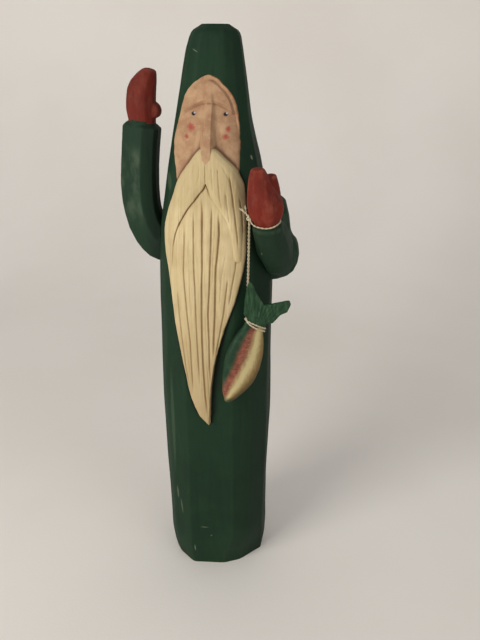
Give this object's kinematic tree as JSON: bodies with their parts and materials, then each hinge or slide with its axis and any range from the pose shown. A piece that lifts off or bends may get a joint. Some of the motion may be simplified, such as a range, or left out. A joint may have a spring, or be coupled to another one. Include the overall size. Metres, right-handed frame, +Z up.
{
  "type": "carved santa figure",
  "caption": "Tall hewn and painted wooden santa with a long grooved beard, one raised arm, and a carved trout hanging on twine from the other wrist.",
  "frame": {"origin": "centre of the figure's underside", "axes": "+Z up along the figure, -Y the way it faces, +X towards its left hand, the one that holds the fish"},
  "size_m": [0.1399, 0.0989, 0.457],
  "materials": {
    "painted_body": "dark green robe with cream beard and flesh face, satin paint over hewn softwood, brown wash in the cuts",
    "painted_arm": "dark green sleeve with brick red mitten, satin paint over hewn softwood",
    "fish_paint": "green back, pink stripe and cream belly, satin paint on carved softwood",
    "cotton_twine": "two-ply natural cotton twine, matt"
  },
  "bodies": {
    "root": {"carved_body": "painted_body", "raised_arm": "painted_arm", "bent_arm": "painted_arm", "trout": "fish_paint", "twine": "cotton_twine"}
  },
  "joints": []
}
